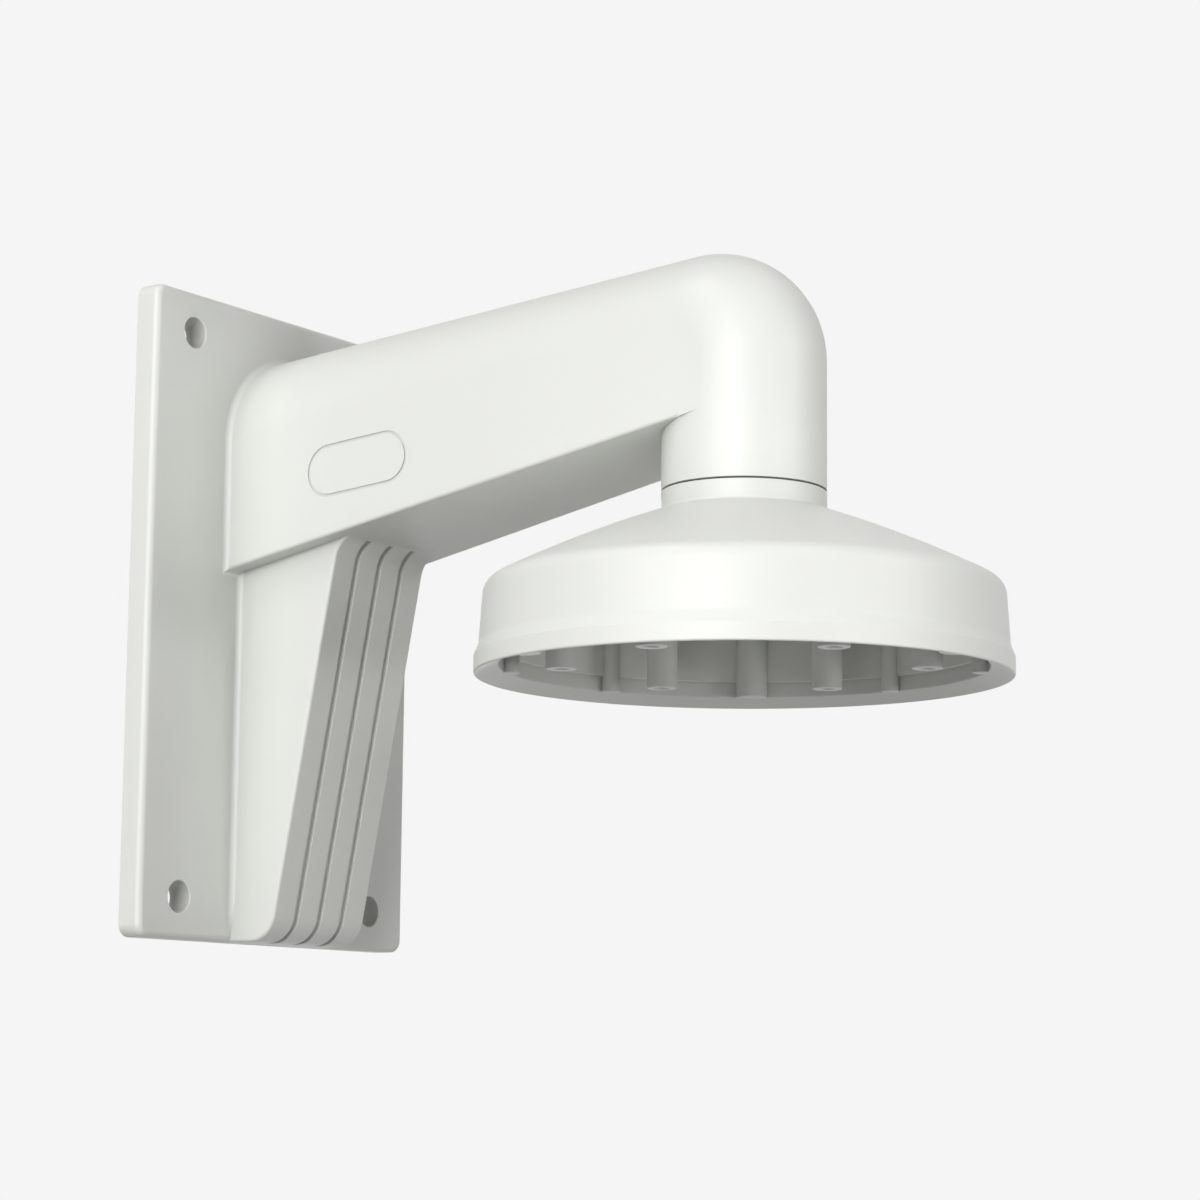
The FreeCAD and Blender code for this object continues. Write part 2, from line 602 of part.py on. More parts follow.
# The lip's sloping foot is drawn on past the band, into what the cavity takes away
lip_run_end = "(band_radius - pillar_radius)"
lip_inner_level = ("(rim_level + (band_foot_level - rim_level) * (lip_radius - band_radius + pillar_radius)"
                   " / (lip_radius - band_radius))")
outline(cap_sketch, [
    ("cable_bore_radius", SPIGOT_TOP),
    ("cable_bore_radius", "rim_level"),
    (lip_run_end, "rim_level"),
    (lip_run_end, lip_inner_level),
    ("lip_radius", "rim_level"),
    ("lip_radius", "lip_top_level"),
    ("skirt_foot_radius", "skirt_foot_level"),
    ("shoulder_radius", "shoulder_level - shoulder_bevel"),
    (f"shoulder_radius - shoulder_bevel * cos({CONE_SLOPE})",
     f"shoulder_level + shoulder_bevel * sin({CONE_SLOPE})"),
    ("tube_radius", "collar_foot_level"),
    ("tube_radius", "collar_top"),
    (SPIGOT_RADIUS, "collar_top"),
    (SPIGOT_RADIUS, SPIGOT_TOP),
], {8: ("cone_bow_radius", 1)})
turn(cap, "cap_turned", cap_sketch)
hollow = cap.newObject("PartDesign::Boolean", "cap_hollow")
hollow.setObjects([cavity])
hollow.Type = "Cut"
finish(cap, hollow, adds=False)
pillar_hole_sketch = new_sketch(cap, "pillar_hole_outlines", "XY_Plane",
                                ("tube_reach", "0", "pillar_end_level"))
for i, angle in enumerate(PILLAR_ANGLES):
    disc(pillar_hole_sketch, f"hole{i}", *polar("pillar_circle_radius", angle), "pillar_hole_radius")
extrude(cap, "pillar_holes", pillar_hole_sketch, "pillar_hole_depth", adds=False, backwards=True)

# Locking screw: headless, with a hexagon socket in its outer end
screw = new_body("locking_screw")
screw_face = "(tube_reach - tube_radius + screw_sink)"
screw_sketch = new_sketch(screw, "screw_outline", "YZ_Plane", ("0", "screw_level", screw_face))
disc(screw_sketch, "screw", "0", "0", "screw_radius")
extrude(screw, "shank", screw_sketch, f"tube_radius - screw_sink - {SPIGOT_RADIUS} - screw_clearance")
socket_sketch = new_sketch(screw, "socket_outline", "YZ_Plane", ("0", "screw_level", screw_face))
outline(socket_sketch, [polar("screw_socket_flats / 2 / cos(30 * 1 deg)", str(60 * i)) for i in range(6)])
extrude(screw, "socket", socket_sketch, "screw_socket_depth", adds=False, backwards=True)

os.makedirs("parts", exist_ok=True)
faults = [item.Name for item in doc.Objects if {"Invalid", "Error"} & set(item.State)]
if faults:
    raise RuntimeError(f"failed objects: {faults}")
for body in (casting, cap, seal, screw):
    if body.Shape.isNull() or not body.Shape.isValid() or len(body.Shape.Solids) != 1:
        raise RuntimeError(f"{body.Label} is not one sound solid")
    body.Shape.exportStep(f"parts/{body.Label}.step")
    print(body.Label, round(body.Shape.Volume), body.Shape.BoundBox)
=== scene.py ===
import math

import bpy
from mathutils import Matrix, Vector


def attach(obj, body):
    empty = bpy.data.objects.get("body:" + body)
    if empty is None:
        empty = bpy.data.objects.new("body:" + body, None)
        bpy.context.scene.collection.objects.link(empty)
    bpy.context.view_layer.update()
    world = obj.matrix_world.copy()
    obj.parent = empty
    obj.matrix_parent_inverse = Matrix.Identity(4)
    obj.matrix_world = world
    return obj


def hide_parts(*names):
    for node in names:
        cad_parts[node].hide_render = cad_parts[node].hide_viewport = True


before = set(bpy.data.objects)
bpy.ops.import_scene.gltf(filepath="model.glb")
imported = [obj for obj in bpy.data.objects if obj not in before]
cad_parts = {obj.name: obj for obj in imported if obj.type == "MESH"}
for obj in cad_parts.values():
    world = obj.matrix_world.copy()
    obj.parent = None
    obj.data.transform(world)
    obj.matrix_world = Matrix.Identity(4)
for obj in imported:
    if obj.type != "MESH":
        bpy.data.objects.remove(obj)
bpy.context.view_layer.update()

millimetre = 0.001  # shapes are written in millimetres, Blender's places are in metres
near = 0.01  # a vertex this close to a place, in millimetres, is taken to be on it
weldReach = 0.001  # vertices closer than this, in millimetres, become one
sharpAngle = math.radians(50)  # edges sharper than this are rounded
flatAngle = math.radians(0.15)  # faces that meet flatter than this are joined
smoothAngle = math.radians(32)  # edges blunter than this are shaded as one surface
scene = bpy.context.scene


def inMetres(place):
    return [value * millimetre for value in place]


def deselectAll():
    if bpy.context.object and bpy.context.object.mode != "OBJECT":
        bpy.ops.object.mode_set(mode="OBJECT")
    bpy.ops.object.select_all(action="DESELECT")


def pickOnly(piece):
    deselectAll()
    piece.select_set(True)
    bpy.context.view_layer.objects.active = piece


# Camera, on the photograph's side of the plate and a little below it
cameraSettings = {
    "place": (0.5973286, -0.6918988, -0.1286922),  # metres from the plate's middle
    "heading": 124.7213,  # degrees from +X towards +Y
    "rise": 8.6732,
    "roll": -0.54,
    "lens": 95.261,
    "sensor": 36.0,
    "clipStart": 0.01,
}


def addCamera(settings):
    deselectAll()
    bpy.ops.object.camera_add(location=settings["place"])
    camera = bpy.context.object
    camera.name = "photoCamera"
    heading, rise, roll = (math.radians(settings[key]) for key in ("heading", "rise", "roll"))
    level = math.cos(rise)
    forward = Vector((level * math.cos(heading), level * math.sin(heading), math.sin(rise)))
    right = Vector((math.sin(heading), -math.cos(heading), 0.0))
    down = forward.cross(right)
    tiltedRight = math.cos(roll) * right + math.sin(roll) * down
    tiltedDown = math.cos(roll) * down - math.sin(roll) * right
    camera.rotation_euler = Matrix((tiltedRight, -tiltedDown, -forward)).transposed().to_euler()
    camera.data.sensor_width = settings["sensor"]
    camera.data.lens = settings["lens"]
    camera.data.clip_start = settings["clipStart"]
    scene.camera = camera
    print("camera placed")


addCamera(cameraSettings)


# Studio: pale surround that camera and reflections see as near white, and lamps, most of them
# on the camera's side, with one high up and one behind the wall
studioSettings = {
    "backdrop": (0.913, 0.913, 0.913),
    "domeColour": (1.0, 1.0, 0.99),
    "domeStrength": 0.06,
    "floorMiddle": (0.1, 0.0, -0.42),
    "floorSize": 8.0,
    "floorColour": (0.38, 0.38, 0.375),
    "floorRoughness": 0.9,
    "floorPaper": (0.975, 0.975, 0.975),  # with its lit share it comes out as the backdrop
    "floorPaperShare": 0.93,
    "aim": (0.11, 0.0, 0.0),
    "lamps": {  # place, size across in metres, watts
        "frontLamp": ((0.332, -1.261, 0.226), 0.6, 4.9),
        "frontHighLamp": ((0.295, -1.049, 0.746), 0.6, 2.3),
        "frontRightLamp": ((0.651, -1.160, 0.226), 0.3, 3.8),
        "frontLeftLamp": ((-0.112, -1.261, 0.226), 0.3, 2.0),
        "frontLowLamp": ((0.259, -0.843, -0.278), 0.25, 0.22),
        "topLamp": ((-0.165, -0.589, 1.126), 0.6, 3.2),
        "lowEndLamp": ((1.362, 0.221, -0.270), 0.25, 1.8),
        "nearEndLamp": ((0.701, -0.104, 0.000), 0.2, 0.44),
        "nearHighLamp": ((0.665, 0.098, 0.205), 0.2, 0.50),
        "wallBackLamp": ((-0.700, 0.900, 0.150), 0.6, 3.0),
    },
}


def newMaterial(name):
    material = bpy.data.materials.new(name)
    material.use_nodes = True
    material.node_tree.nodes.clear()
    return material


def mathNode(nodes, links, operation, *values):
    node = nodes.new("ShaderNodeMath")
    node.operation = operation
    for slot, value in zip(node.inputs, values):
        if isinstance(value, float):
            slot.default_value = value
        else:
            links.new(value, slot)
    return node.outputs[0]


def mixShaders(nodes, links, *sources):
    mix = nodes.new("ShaderNodeMixShader")
    for slot, source in zip(mix.inputs, sources):
        links.new(source, slot)
    return mix.outputs["Shader"]


def backdropShare(nodes, links, amount):
    path = nodes.new("ShaderNodeLightPath")
    seen = path.outputs["Is Camera Ray"]
    for ray in ("Is Glossy Ray", "Is Transmission Ray"):
        seen = mathNode(nodes, links, "MAXIMUM", seen, path.outputs[ray])
    return mathNode(nodes, links, "MULTIPLY", seen, amount)


def addDome(settings):
    world = bpy.data.worlds.new("studioDome")
    scene.world = world
    world.use_nodes = True
    nodes, links = world.node_tree.nodes, world.node_tree.links
    nodes.clear()
    shades = []
    for key, strength in (("domeColour", settings["domeStrength"]), ("backdrop", 1.0)):
        shade = nodes.new("ShaderNodeBackground")
        shade.inputs["Color"].default_value = (*settings[key], 1.0)
        shade.inputs["Strength"].default_value = strength
        shades.append(shade.outputs["Background"])
    output = nodes.new("ShaderNodeOutputWorld")
    links.new(mixShaders(nodes, links, backdropShare(nodes, links, 1.0), *shades), output.inputs["Surface"])


def addFloor(settings):
    deselectAll()
    bpy.ops.mesh.primitive_plane_add(size=settings["floorSize"], location=settings["floorMiddle"])
    floor = bpy.context.object
    floor.name = "studioFloor"
    paper = newMaterial("palePaper")
    nodes, links = paper.node_tree.nodes, paper.node_tree.links
    matte = nodes.new("ShaderNodeBsdfPrincipled")
    matte.inputs["Base Color"].default_value = (*settings["floorColour"], 1.0)
    matte.inputs["Roughness"].default_value = settings["floorRoughness"]
    pale = nodes.new("ShaderNodeEmission")
    pale.inputs["Color"].default_value = (*settings["floorPaper"], 1.0)
    share = backdropShare(nodes, links, settings["floorPaperShare"])
    above = mixShaders(nodes, links, share, matte.outputs["BSDF"], pale.outputs["Emission"])
    # seen from below, the floor is left out
    side = nodes.new("ShaderNodeNewGeometry")
    clear = nodes.new("ShaderNodeBsdfTransparent")
    surface = mixShaders(nodes, links, side.outputs["Backfacing"], above, clear.outputs["BSDF"])
    output = nodes.new("ShaderNodeOutputMaterial")
    links.new(surface, output.inputs["Surface"])
    floor.data.materials.append(paper)


def addLamps(settings):
    for name, (place, size, watts) in settings["lamps"].items():
        deselectAll()
        bpy.ops.object.light_add(type="AREA", location=place)
        lamp = bpy.context.object
        lamp.name = name
        lamp.data.shape = "DISK"
        lamp.data.size = size
        lamp.data.energy = watts
        lamp.visible_camera = False
        aim = Vector(settings["aim"]) - Vector(place)
        lamp.rotation_euler = aim.to_track_quat("-Z", "Y").to_euler()


addDome(studioSettings)
addFloor(studioSettings)
addLamps(studioSettings)
print("studio lit")


def cutOrJoin(piece, tool, operation):
    pickOnly(piece)
    modifier = piece.modifiers.new("cut", "BOOLEAN")
    modifier.operation = operation
    modifier.solver = "EXACT"
    modifier.object = tool
    bpy.ops.object.modifier_apply(modifier=modifier.name)
    bpy.data.objects.remove(tool, do_unlink=True)


def joinAll(pieces):
    deselectAll()
    for piece in pieces:
        piece.select_set(True)
    bpy.context.view_layer.objects.active = pieces[0]
    bpy.ops.object.join()
    return bpy.context.object


def settle(piece):
    pickOnly(piece)
    bpy.ops.object.transform_apply(location=True, rotation=True, scale=True)
    return piece


def editAll(piece):
    pickOnly(piece)
    bpy.ops.object.mode_set(mode="EDIT")
    bpy.ops.mesh.select_all(action="SELECT")


def editDone():
    bpy.ops.object.mode_set(mode="OBJECT")


def startPicking(piece, kind):
    editAll(piece)
    bpy.ops.mesh.select_mode(type=kind)
    bpy.ops.mesh.select_all(action="DESELECT")
    editDone()
    return [vertex.co / millimetre for vertex in piece.data.vertices]


def pickVertices(piece, test):
    places = startPicking(piece, "VERT")
    for vertex in piece.data.vertices:
        vertex.select = test(places[vertex.index])
    bpy.ops.object.mode_set(mode="EDIT")


def pickEdges(piece, test):
    places = startPicking(piece, "EDGE")
    for edge in piece.data.edges:
        edge.select = test(*(places[index] for index in edge.vertices))
    bpy.ops.object.mode_set(mode="EDIT")


def pickFaces(piece, test):
    places = startPicking(piece, "FACE")
    for polygon in piece.data.polygons:
        polygon.select = all(test(places[index]) for index in polygon.vertices)
    bpy.ops.object.mode_set(mode="EDIT")


def bothEnds(test):
    return lambda a, b: test(a) and test(b)


def closeUp(piece):
    editAll(piece)
    bpy.ops.mesh.remove_doubles(threshold=weldReach * millimetre)
    bpy.ops.mesh.normals_make_consistent(inside=False)
    editDone()


def extrudeBy(*move):
    bpy.ops.mesh.extrude_region_move(TRANSFORM_OT_translate={"value": inMetres(move)})


def moveBy(*move):
    bpy.ops.transform.translate(value=inMetres(move))


def spinRound(steps, angle, axis, centre):
    bpy.ops.mesh.spin(steps=steps, angle=angle, axis=axis, center=inMetres(centre))


def bevelPicked(width, steps):
    bpy.ops.mesh.bevel(offset=width * millimetre, segments=steps, affect="EDGES")
    editDone()


def bevelEdges(piece, test, width, steps):
    pickEdges(piece, test)
    bevelPicked(width, steps)


def faults(piece):
    uses = {}
    for polygon in piece.data.polygons:
        for key in polygon.edge_keys:
            uses[key] = uses.get(key, 0) + 1
    return sum(1 for count in uses.values() if count != 2), len(piece.data.polygons)


def roundedOutline(corners, steps):
    places = []
    for index, corner in enumerate(corners):
        here = Vector(corner[:2])
        if len(corner) == 2:
            places.append(here)
            continue
        back = (Vector(corners[index - 1][:2]) - here).normalized()
        ahead = (Vector(corners[(index + 1) % len(corners)][:2]) - here).normalized()
        half = back.angle(ahead) / 2
        centre = here + (back + ahead).normalized() * corner[2] / math.sin(half)
        arm = here + back * corner[2] / math.tan(half) - centre
        sweep = (math.pi - 2 * half) * (1 if back.x * ahead.y - back.y * ahead.x < 0 else -1)
        for step in range(steps + 1):
            cosine, sine = math.cos(sweep * step / steps), math.sin(sweep * step / steps)
            places.append(centre + Vector((arm.x * cosine - arm.y * sine, arm.x * sine + arm.y * cosine)))
    return places


def drawLine(name, places, closed=True):
    deselectAll()
    bpy.ops.mesh.primitive_plane_add(size=millimetre, location=inMetres(places[0]))
    piece = bpy.context.object
    piece.name = piece.data.name = name
    settle(piece)
    editAll(piece)
    bpy.ops.mesh.select_mode(type="VERT")
    bpy.ops.mesh.merge(type="CENTER")
    for here, there in zip(places, places[1:] + places[:1] if closed else places[1:]):
        step = inMetres(b - a for a, b in zip(here, there))
        bpy.ops.mesh.extrude_vertices_move(TRANSFORM_OT_translate={"value": step})
    bpy.ops.mesh.select_all(action="SELECT")
    if closed:
        bpy.ops.mesh.remove_doubles(threshold=weldReach * millimetre)
    editDone()
    return piece


def turnedPiece(name, outline, centre, steps, closed=True):
    x, y = centre
    piece = drawLine(name, [(x + radius, y, level) for radius, level in outline], closed)
    editAll(piece)
    spinRound(steps, 2 * math.pi, (0, 0, 1), (x, y, 0))
    editDone()
    closeUp(piece)
    return piece


def slab(name, outline, halfWidth, middle=0.0):
    piece = drawLine(name, [(x, middle - halfWidth, z) for x, z in outline])
    editAll(piece)
    bpy.ops.mesh.edge_face_add()
    extrudeBy(0, 2 * halfWidth, 0)
    editDone()
    closeUp(piece)
    return piece


def block(start, end, wide, high, level=0.0):
    deselectAll()
    bpy.ops.mesh.primitive_cube_add(size=millimetre, location=inMetres(((start + end) / 2, 0, level)),
                                    scale=(end - start, wide, high))
    return settle(bpy.context.object)


def pegAlongX(radius, start, end, y, z, steps=64):
    deselectAll()
    bpy.ops.mesh.primitive_cylinder_add(vertices=steps, radius=radius * millimetre,
                                        depth=(end - start) * millimetre,
                                        location=inMetres(((start + end) / 2, y, z)),
                                        rotation=(0, math.pi / 2, 0))
    return settle(bpy.context.object)


# Round cap, turned, with the camera's screw pillars standing in it
capSettings = {
    "axis": (163.3, 0.0),
    "turnSteps": 256,
    "roundSteps": 5,
    "spigotRadius": 16.7,
    "spigotTop": 40.05,
    "spigotEdge": 0.8,
    "cableBore": 12.5,
    "boreEdge": 0.8,
    "neckRadius": 21.7,
    "neckTop": 24.4,
    "neckEdge": 0.35,
    "neckFoot": 19.2,
    "neckRoot": 0.9,
    "coneBow": 341.0,
    "coneSteps": 14,
    "shoulder": (67.8, -0.6, 4.8),  # radius, level and rounding, as in the next four
    "skirtFoot": (68.8, -16.5, 4.4),
    "lipTop": (70.0, -19.5, 0.5),
    "lipFoot": (70.0, -24.4, 0.5),
    "bandFoot": (63.6, -21.7, 0.5),
    "ledge": -17.6,
    "ledgeEdge": 0.3,
    "bore": 62.2,
    "eaves": -1.5,
    "eavesRound": 2.0,
    "roof": 15.9,
    "roofRound": 3.0,
    "pillarCircle": 47.4,
    "pillarAngles": (30.0, 150.0, -150.0, -30.0, 93.5, -86.5),
    "pillarRadius": 4.15,
    "pillarTop": 6.85,
    "pillarFoot": -22.0,
    "pillarHole": 1.8,
    "pillarHoleTop": -10.0,
    "pillarHoleRim": 0.4,
    "pillarSteps": 48,
    "wallPegs": (  # radius, top and angles of the bosses, and of the ribs
        (4.3, 0.6, (0.0, 120.0, -120.0)),
        (2.45, 0.0, (38.0, -38.0, 82.0, -82.0, 158.0, -158.0)),
    ),
    "wallPegCut": 63.95,  # they end inside the cap's wall
    "wallPegSteps": 40,
    "pegEdge": 0.35,
}


def coneLine(start, end, bow, steps):
    chord = end - start
    outward = Vector((-chord.y, chord.x)).normalized()
    if outward.y < 0:
        outward = -outward
    centre = (start + end) / 2 - outward * math.sqrt(bow ** 2 - (chord.length / 2) ** 2)
    places = [start + chord * step / steps for step in range(1, steps)]
    return [centre + (place - centre).normalized() * bow for place in places]


def capPlace(settings, reach, angle):
    turn = math.radians(angle)
    x, y = settings["axis"]
    return x + reach * math.cos(turn), y + reach * math.sin(turn)


def makePillar(settings, angle):
    radius, top, foot = settings["pillarRadius"], settings["pillarTop"], settings["pillarFoot"]
    hole, holeTop, rim = settings["pillarHole"], settings["pillarHoleTop"], settings["pillarHoleRim"]
    edge = settings["pegEdge"]
    outline = [(0.0, holeTop + 1.0), (hole, holeTop), (hole, foot + rim), (hole + rim, foot),
               (radius - edge, foot), (radius - 0.1, foot + 0.1), (radius, foot + edge),
               (radius, top), (0.0, top)]
    place = capPlace(settings, settings["pillarCircle"], angle)
    return turnedPiece("pillar", outline, place, settings["pillarSteps"], closed=False)


def makeWallPeg(settings, radius, top, angle):
    foot, edge = settings["pillarFoot"], settings["pegEdge"]
    outline = [(0.0, foot), (radius - edge, foot), (radius - edge * 0.3, foot + edge * 0.3),
               (radius, foot + edge), (radius, top), (0.0, top)]
    place = capPlace(settings, settings["bore"], angle)
    piece = turnedPiece("wallPeg", outline, place, settings["wallPegSteps"], closed=False)
    cut = (*capPlace(settings, settings["wallPegCut"], angle), 0.0)
    outwards = (math.cos(math.radians(angle)), math.sin(math.radians(angle)), 0.0)
    editAll(piece)
    bpy.ops.mesh.bisect(plane_co=inMetres(cut), plane_no=outwards, use_fill=True, clear_outer=True)
    editDone()
    closeUp(piece)
    return piece


def makeCap(settings):
    bore, neck = settings["cableBore"], settings["neckRadius"]
    neckFoot = Vector((neck, settings["neckFoot"]))
    cone = coneLine(Vector(settings["shoulder"][:2]), neckFoot, settings["coneBow"], settings["coneSteps"])
    outline = roundedOutline([
        (bore, settings["spigotTop"]),
        (settings["spigotRadius"], settings["spigotTop"], settings["spigotEdge"]),
        (settings["spigotRadius"], settings["neckTop"]),
        (neck, settings["neckTop"], settings["neckEdge"]),
        (neck, settings["neckFoot"], settings["neckRoot"]),
        *reversed(cone),
        settings["shoulder"],
        settings["skirtFoot"],
        settings["lipTop"],
        settings["lipFoot"],
        settings["bandFoot"],
        (settings["bandFoot"][0], settings["ledge"]),
        (settings["bore"], settings["ledge"], settings["ledgeEdge"]),
        (settings["bore"], settings["eaves"], settings["eavesRound"]),
        (neck, settings["roof"], settings["roofRound"]),
        (bore, settings["roof"], settings["boreEdge"]),
    ], settings["roundSteps"])
    cap = turnedPiece("turnedCap", outline, settings["axis"], settings["turnSteps"])
    pegs = [makePillar(settings, angle) for angle in settings["pillarAngles"]]
    for radius, top, angles in settings["wallPegs"]:
        pegs += [makeWallPeg(settings, radius, top, angle) for angle in angles]
    cutOrJoin(cap, joinAll(pegs), "UNION")
    closeUp(cap)
    print("cap", faults(cap))
    return cap


# Casting: wall plate, hollow arm, elbow, tube and fluted gusset in one piece
castingSettings = {  # corners, edges, rims, the fillet and the flutes' lips are given as size and steps
    "plateWidth": 114.6,
    "plateHeight": 181.0,
    "plateThickness": 7.5,
    "plateCorner": (3.5, 8),
    "plateEdge": (1.8, 6),
    "plateBackEdge": (0.4, 2),
    "rimWidth": 4.0,
    "recessDepth": 4.0,
    "recessCorner": (2.0, 5),
    "recessEdge": (0.8, 3),
    "holes": (41.4, 79.0),
    "holeRadius": 4.4,
    "holeRim": (0.4, 3),
    "bossRadius": 9.0,
    "ribWidth": 3.0,
    "ribLevel": 40.0,
    "bend": (155.0, 59.0),  # x and z of the bend's axis
    "crownReach": 8.3,  # from that axis to the middle of the round crown
    "crownLean": 2.46,  # how far the arm's end leans back at its top
    "armSlope": 4.7,
    "rootSpring": 50.674,  # level where the crown starts at the plate
    "floorSlope": 0.19004,
    "rootHalf": 26.3,
    "rootFloor": 13.5,
    "rootFillet": (1.7, 4),
    "armEdge": (0.9, 4),
    "tubeRadius": 21.7,
    "tubeWall": 4.7,
    "floorThickness": 4.0,
    "tubeEnd": 24.8,
    "boreEnd": 20.0,
    "tubeRim": (0.25, 2),
    "crownSteps": 64,
    "bendSteps": 48,
    "gussetHalf": 19.8,
    "gussetReach": 39.07,
    "gussetSlope": 10.92,
    "gussetTopRound": 8.0,
    "gussetFootRound": 8.5,
    "gussetRoundSteps": 12,
    "gussetEdge": (0.9, 4),
    "gussetWall": 4.0,
    "gussetHollowRound": 2.0,
    "gussetHollowSteps": 6,
    "gussetHollowEdge": (1.5, 4),
    "flutePlaces": (-9.9, 0.0, 9.9),
    "fluteWidth": 2.0,
    "fluteDepth": 1.3,
    "fluteLip": (0.3, 2),
    "fluteRun": 3.0,  # how far a flute runs on under the arm
    "badge": (53.2, 39.5, 33.2, 14.0),  # x, z, length and height of the bare oval field
    "badgeTilt": 5.4,
    "badgeLine": 0.8,
    "badgeDepth": 0.35,
    "screwLevel": 30.5,
    "screwHole": 2.1,
}


def makeArm(name, settings, inset, drop, plateStart, tubeFoot):
    bendX, bendZ = settings["bend"]
    reach, spring, thick = settings["crownReach"], settings["rootSpring"], settings["plateThickness"]
    rootHalf = settings["rootHalf"] - inset
    endHalf = settings["tubeRadius"] - inset
    ratio = endHalf / rootHalf
    rootFloor = settings["rootFloor"] + drop
    slope, rise = math.radians(settings["armSlope"]), settings["floorSlope"]
    tubeX, crownZ = bendX + reach, bendZ + reach
    floorDrop = (bendZ - rootFloor - rise * (bendX - thick)) / (math.cos(slope) + rise * math.sin(slope))
    tubeFloor = rootFloor + rise * (tubeX - thick)

    # half circle at the wall, with straight sides in two runs, the upper one as deep as the bend's axis
    deselectAll()
    bpy.ops.mesh.primitive_circle_add(vertices=2 * settings["crownSteps"], radius=rootHalf * millimetre,
                                      location=inMetres((plateStart, 0, spring)),
                                      rotation=(0, math.pi / 2, 0))
    arm = bpy.context.object
    arm.name = arm.data.name = name
    settle(arm)
    pickVertices(arm, lambda place: place.z < spring - near)
    bpy.ops.mesh.delete(type="VERT")
    upper = reach / ratio
    pickVertices(arm, lambda place: place.z < spring + near)
    for run in (upper, spring - upper - rootFloor):
        extrudeBy(0, 0, -run)

    # straight on through the plate, then tapering and climbing to the bend
    bpy.ops.mesh.select_all(action="SELECT")
    bpy.ops.mesh.edge_face_add()
    extrudeBy(thick - plateStart, 0, 0)
    extrudeBy(bendX - thick, 0, crownZ - spring)
    bpy.ops.transform.resize(value=(1, ratio, ratio), center_override=inMetres((bendX, 0, crownZ)))
    editDone()
    low = crownZ - (spring - rootFloor) * ratio
    pickVertices(arm, lambda place: place.x > bendX - near and place.z < low + near)
    moveBy(0, 0, bendZ - floorDrop - low)
    editDone()
    pickVertices(arm, lambda place: place.x > bendX - near)
    bpy.ops.transform.rotate(value=slope, orient_axis="Y", center_override=inMetres((bendX, 0, bendZ)))
    editDone()

    # the end's face goes, and its upper part is swung round the bend
    axis = Vector((bendX, 0, bendZ))
    along = Vector((math.cos(slope), 0, math.sin(slope)))
    up = Vector((-math.sin(slope), 0, math.cos(slope)))

    def onEnd(place):
        return abs((place - axis).dot(along)) < near

    pickVertices(arm, onEnd)
    bpy.ops.mesh.delete(type="ONLY_FACE")
    editDone()
    pickEdges(arm, bothEnds(lambda place: onEnd(place) and (place - axis).dot(up) > -near))
    spinRound(settings["bendSteps"], math.pi / 2 + slope, (0, -1, 0), (bendX, 0, bendZ))
    editDone()
    closeUp(arm)

    # front half of the tube, in two runs, with a corner where the arm's floor arrives
    pickEdges(arm, bothEnds(lambda place: place.x > tubeX - near and abs(place.z - bendZ) < near))
    for run in (bendZ - tubeFloor, tubeFloor - tubeFoot):
        extrudeBy(0, 0, -run)
    editDone()
    cheek = [axis, axis - up * floorDrop, Vector((tubeX, 0, tubeFloor)), Vector((tubeX, 0, bendZ))]
    for side in (-endHalf, endHalf):
        corners = [place + Vector((0, side, 0)) for place in cheek]
        pickVertices(arm, lambda place: any((place - corner).length < near for corner in corners))
        bpy.ops.mesh.edge_face_add()
        editDone()

    # back half of the tube, cut off along the arm's sloping floor
    floorPoint = Vector((tubeX, 0, tubeFloor))
    floorNormal = Vector((-rise, 0, 1)).normalized()
    pickEdges(arm, bothEnds(lambda place: abs(place.x - tubeX) < near and place.y > 0
                            and place.z < tubeFloor + near))
    spinRound(settings["crownSteps"], math.pi, (0, 0, -1), (tubeX, 0, 0))
    editDone()
    closeUp(arm)
    pickVertices(arm, lambda place: place.x < tubeX + near and place.z < tubeFloor + near
                 and abs(math.hypot(place.x - tubeX, place.y) - endHalf) < near)
    bpy.ops.mesh.bisect(plane_co=inMetres(floorPoint), plane_no=floorNormal, clear_outer=True)
    editDone()
    closeUp(arm)

    # sloping floor round the tube, and the tube's end
    def onFloor(place):
        return abs((place - floorPoint).dot(floorNormal)) < near

    pickFaces(arm, onFloor)
    bpy.ops.mesh.delete(type="FACE")
    editDone()
    for test in (onFloor, lambda place: abs(place.z - tubeFoot) < near):
        pickEdges(arm, bothEnds(test))
        bpy.ops.mesh.edge_face_add()
        editDone()
    closeUp(arm)
    print(name, faults(arm))
    return arm


def isAlongX(a, b):
    return abs(a.x - b.x) > 1


def holePlaces(settings):
    holeY, holeZ = settings["holes"]
    return [(y, z) for y in (-holeY, holeY) for z in (-holeZ, holeZ)]


